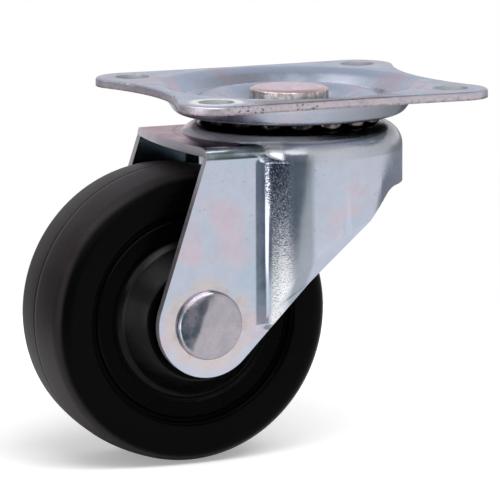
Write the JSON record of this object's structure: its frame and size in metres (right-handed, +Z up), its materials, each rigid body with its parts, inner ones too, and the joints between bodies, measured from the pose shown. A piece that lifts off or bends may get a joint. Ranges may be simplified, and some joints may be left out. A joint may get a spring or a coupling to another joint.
{
  "type": "swivel castor",
  "caption": "Light swivel castor with a four-hole pressed top plate, a drawn steel fork on a ball race and a black rubber wheel.",
  "frame": {"origin": "centre of the four-hole pattern in the plate's top face, on the swivel axis", "axes": "+Z up out of the mounting face, +Y along the wheel's axle, the wheel trails towards -X"},
  "size_m": [0.074, 0.0496, 0.0625],
  "materials": {
    "plate_zinc": "bright zinc plating",
    "fork_zinc": "bright zinc plating",
    "rivet_zinc": "zinc plating, rubbed",
    "cup_zinc": "zinc plating",
    "ball_steel": "polished and greased",
    "sleeve_steel": "drawn tube",
    "tyre_rubber": "moulded satin",
    "core_plastic": "moulded gloss"
  },
  "bodies": {
    "mounted_plate": {"top_plate": "plate_zinc", "kingpin": "rivet_zinc", "lower_race_cup": "cup_zinc"},
    "fork_group": {"fork": "fork_zinc", "axle_rivet": "rivet_zinc", "axle_sleeve": "sleeve_steel"},
    "wheel": {"wheel_core": "core_plastic", "tyre": "tyre_rubber"},
    "upper_balls": {"upper_ball_01": "ball_steel", "upper_ball_02": "ball_steel", "upper_ball_03": "ball_steel", "upper_ball_04": "ball_steel", "upper_ball_05": "ball_steel", "upper_ball_06": "ball_steel", "upper_ball_07": "ball_steel", "upper_ball_08": "ball_steel", "upper_ball_09": "ball_steel", "upper_ball_10": "ball_steel", "upper_ball_11": "ball_steel", "upper_ball_12": "ball_steel", "upper_ball_13": "ball_steel", "upper_ball_14": "ball_steel", "upper_ball_15": "ball_steel", "upper_ball_16": "ball_steel", "upper_ball_17": "ball_steel"},
    "lower_balls": {"lower_ball_01": "ball_steel", "lower_ball_02": "ball_steel", "lower_ball_03": "ball_steel", "lower_ball_04": "ball_steel", "lower_ball_05": "ball_steel", "lower_ball_06": "ball_steel", "lower_ball_07": "ball_steel", "lower_ball_08": "ball_steel", "lower_ball_09": "ball_steel", "lower_ball_10": "ball_steel", "lower_ball_11": "ball_steel", "lower_ball_12": "ball_steel", "lower_ball_13": "ball_steel"}
  },
  "joints": [
    {"name": "swivel", "type": "hinge", "parent": "mounted_plate", "child": "fork_group", "pos_m": [0, 0, 0], "axis": [0, 0, 1], "continuous": true},
    {"name": "wheel_spin", "type": "hinge", "parent": "fork_group", "child": "wheel", "pos_m": [-0.02155, 0, -0.03749], "axis": [0, 1, 0], "continuous": true},
    {"name": "upper_ball_orbit", "type": "hinge", "parent": "mounted_plate", "child": "upper_balls", "pos_m": [0, 0, 0], "axis": [0, 0, 1], "continuous": true},
    {"name": "lower_ball_orbit", "type": "hinge", "parent": "mounted_plate", "child": "lower_balls", "pos_m": [0, 0, 0], "axis": [0, 0, 1], "continuous": true}
  ],
  "couplings": [
    {"joint": "upper_ball_orbit", "follows": "swivel", "ratio": 0.5},
    {"joint": "lower_ball_orbit", "follows": "swivel", "ratio": 0.5}
  ]
}
